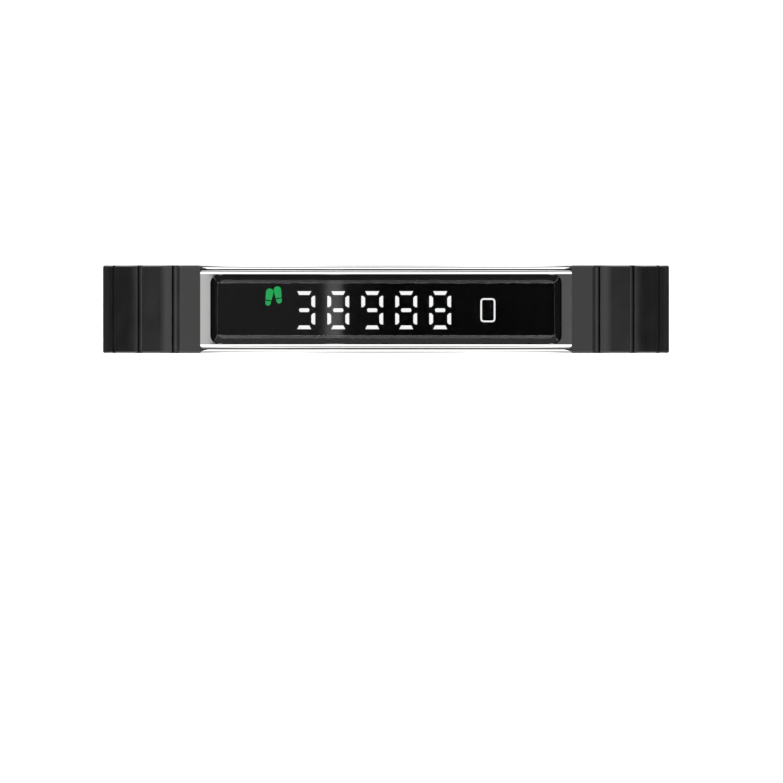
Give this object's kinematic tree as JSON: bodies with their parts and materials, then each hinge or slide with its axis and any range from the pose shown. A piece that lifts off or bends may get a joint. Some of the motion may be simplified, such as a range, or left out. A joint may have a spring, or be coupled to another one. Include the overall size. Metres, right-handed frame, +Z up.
{
  "type": "fitness tracker band",
  "caption": "Slim fitness tracker: curved steel capsule with a bevelled crystal over a lit display, on a black link bracelet with a magnetic clasp.",
  "frame": {"origin": "on the surface that the clasp's flat outer face stands on, under the middle of the capsule", "axes": "+X along the capsule in the direction the digits read, +Y across the band towards the digits' tops, +Z up through the crystal"},
  "size_m": [0.0694, 0.0108, 0.052],
  "materials": {
    "polished_steel": "mirror-polished stainless steel",
    "black_steel": "black coated stainless steel, satin",
    "pin_steel": "drawn stainless steel",
    "screw_steel": "turned stainless steel",
    "black_seal": "black seal and adhesive",
    "crystal": "clear hardened glass, polished bevels",
    "display_black": "black display under glass",
    "lit_white": "lit white strokes",
    "lit_green": "lit green icon",
    "board_green": "green circuit board with solder mask",
    "chip_black": "black chip packages",
    "battery_foil": "battery in a foil pouch",
    "motor_steel": "nickel-plated can",
    "black_plastic": "black moulded cover, fine texture",
    "sensor_window": "tinted clear window",
    "gold_contact": "gold-plated contacts",
    "magnet_nickel": "nickel-plated magnet"
  },
  "bodies": {
    "capsule": {"back_cover": "black_plastic", "back_screws": "screw_steel", "back_seal": "black_seal", "battery": "battery_foil", "bezel": "polished_steel", "bezel_seal": "black_seal", "board_chips": "chip_black", "case_shell": "polished_steel", "charging_contacts": "gold_contact", "circuit_board": "board_green", "crystal": "crystal", "crystal_adhesive": "black_seal", "display_digits": "lit_white", "display_panel": "display_black", "optical_sensor": "chip_black", "sensor_window": "sensor_window", "spring_bars": "screw_steel", "step_icon": "lit_green", "vibration_motor": "motor_steel", "end_link_left": "black_steel", "end_link_right": "black_steel", "end_link_pins": "pin_steel"},
    "link_body_right_1": {"link_right_1": "black_steel", "hinge_pin_right_2": "pin_steel"},
    "link_body_right_2": {"link_right_2": "black_steel", "hinge_pin_right_3": "pin_steel"},
    "link_body_right_3": {"link_right_3": "black_steel", "hinge_pin_right_4": "pin_steel"},
    "link_body_right_4": {"link_right_4": "black_steel", "hinge_pin_right_5": "pin_steel"},
    "link_body_right_5": {"link_right_5": "black_steel", "hinge_pin_right_6": "pin_steel"},
    "link_body_right_6": {"link_right_6": "black_steel", "hinge_pin_right_7": "pin_steel"},
    "link_body_right_7": {"link_right_7": "black_steel", "hinge_pin_right_8": "pin_steel"},
    "link_body_right_8": {"link_right_8": "black_steel", "hinge_pin_right_9": "pin_steel"},
    "clasp_body_right": {"clasp_fork": "black_steel", "clasp_magnets_right": "magnet_nickel"},
    "release_body_right": {"release_pin_right": "screw_steel"},
    "link_body_left_1": {"link_left_1": "black_steel", "hinge_pin_left_2": "pin_steel"},
    "link_body_left_2": {"link_left_2": "black_steel", "hinge_pin_left_3": "pin_steel"},
    "link_body_left_3": {"link_left_3": "black_steel", "hinge_pin_left_4": "pin_steel"},
    "link_body_left_4": {"link_left_4": "black_steel", "hinge_pin_left_5": "pin_steel"},
    "link_body_left_5": {"link_left_5": "black_steel", "hinge_pin_left_6": "pin_steel"},
    "link_body_left_6": {"link_left_6": "black_steel", "hinge_pin_left_7": "pin_steel"},
    "link_body_left_7": {"link_left_7": "black_steel", "hinge_pin_left_8": "pin_steel"},
    "link_body_left_8": {"link_left_8": "black_steel", "hinge_pin_left_9": "pin_steel"},
    "clasp_body_left": {"clasp_tongue": "black_steel", "clasp_magnets_left": "magnet_nickel"},
    "release_body_left": {"release_pin_left": "screw_steel"}
  },
  "joints": [
    {"name": "hinge_right_1", "type": "hinge", "parent": "capsule", "child": "link_body_right_1", "pos_m": [0.02509, 0, 0.04108], "axis": [0, -1, 0], "range_deg": [0, 19.51]},
    {"name": "hinge_right_2", "type": "hinge", "parent": "link_body_right_1", "child": "link_body_right_2", "pos_m": [0.02923, 0, 0.03606], "axis": [0, -1, 0], "range_deg": [0, 16.5]},
    {"name": "hinge_right_3", "type": "hinge", "parent": "link_body_right_2", "child": "link_body_right_3", "pos_m": [0.03228, 0, 0.03032], "axis": [0, -1, 0], "range_deg": [0, 23]},
    {"name": "hinge_right_4", "type": "hinge", "parent": "link_body_right_3", "child": "link_body_right_4", "pos_m": [0.03341, 0, 0.02392], "axis": [0, -1, 0], "range_deg": [0, 22]},
    {"name": "hinge_right_5", "type": "hinge", "parent": "link_body_right_4", "child": "link_body_right_5", "pos_m": [0.03262, 0, 0.01747], "axis": [0, -1, 0], "range_deg": [0, 22]},
    {"name": "hinge_right_6", "type": "hinge", "parent": "link_body_right_5", "child": "link_body_right_6", "pos_m": [0.02997, 0, 0.01153], "axis": [0, -1, 0], "range_deg": [0, 22]},
    {"name": "hinge_right_7", "type": "hinge", "parent": "link_body_right_6", "child": "link_body_right_7", "pos_m": [0.02571, 0, 0.00663], "axis": [0, -1, 0], "range_deg": [0, 22]},
    {"name": "hinge_right_8", "type": "hinge", "parent": "link_body_right_7", "child": "link_body_right_8", "pos_m": [0.0202, 0, 0.00318], "axis": [0, -1, 0], "range_deg": [0, 22]},
    {"name": "hinge_right_9", "type": "hinge", "parent": "link_body_right_8", "child": "clasp_body_right", "pos_m": [0.01392, 0, 0.0015], "axis": [0, -1, 0], "range_deg": [0, 20]},
    {"name": "release_slide_right", "type": "slide", "parent": "capsule", "child": "release_body_right", "axis": [0, 1, 0], "range_m": [0, 0.001], "stiffness_N_per_m": 500, "springref_m": -0.0005},
    {"name": "hinge_left_1", "type": "hinge", "parent": "capsule", "child": "link_body_left_1", "pos_m": [-0.02509, 0, 0.04108], "axis": [0, 1, 0], "range_deg": [0, 19.51]},
    {"name": "hinge_left_2", "type": "hinge", "parent": "link_body_left_1", "child": "link_body_left_2", "pos_m": [-0.02923, 0, 0.03606], "axis": [0, 1, 0], "range_deg": [0, 16.5]},
    {"name": "hinge_left_3", "type": "hinge", "parent": "link_body_left_2", "child": "link_body_left_3", "pos_m": [-0.03228, 0, 0.03032], "axis": [0, 1, 0], "range_deg": [0, 23]},
    {"name": "hinge_left_4", "type": "hinge", "parent": "link_body_left_3", "child": "link_body_left_4", "pos_m": [-0.03341, 0, 0.02392], "axis": [0, 1, 0], "range_deg": [0, 22]},
    {"name": "hinge_left_5", "type": "hinge", "parent": "link_body_left_4", "child": "link_body_left_5", "pos_m": [-0.03262, 0, 0.01747], "axis": [0, 1, 0], "range_deg": [0, 22]},
    {"name": "hinge_left_6", "type": "hinge", "parent": "link_body_left_5", "child": "link_body_left_6", "pos_m": [-0.02997, 0, 0.01153], "axis": [0, 1, 0], "range_deg": [0, 22]},
    {"name": "hinge_left_7", "type": "hinge", "parent": "link_body_left_6", "child": "link_body_left_7", "pos_m": [-0.02571, 0, 0.00663], "axis": [0, 1, 0], "range_deg": [0, 22]},
    {"name": "hinge_left_8", "type": "hinge", "parent": "link_body_left_7", "child": "link_body_left_8", "pos_m": [-0.0202, 0, 0.00318], "axis": [0, 1, 0], "range_deg": [0, 22]},
    {"name": "hinge_left_9", "type": "hinge", "parent": "link_body_left_8", "child": "clasp_body_left", "pos_m": [-0.01392, 0, 0.0015], "axis": [0, 1, 0], "range_deg": [0, 20]},
    {"name": "release_slide_left", "type": "slide", "parent": "capsule", "child": "release_body_left", "axis": [0, 1, 0], "range_m": [0, 0.001], "stiffness_N_per_m": 500, "springref_m": -0.0005}
  ]
}
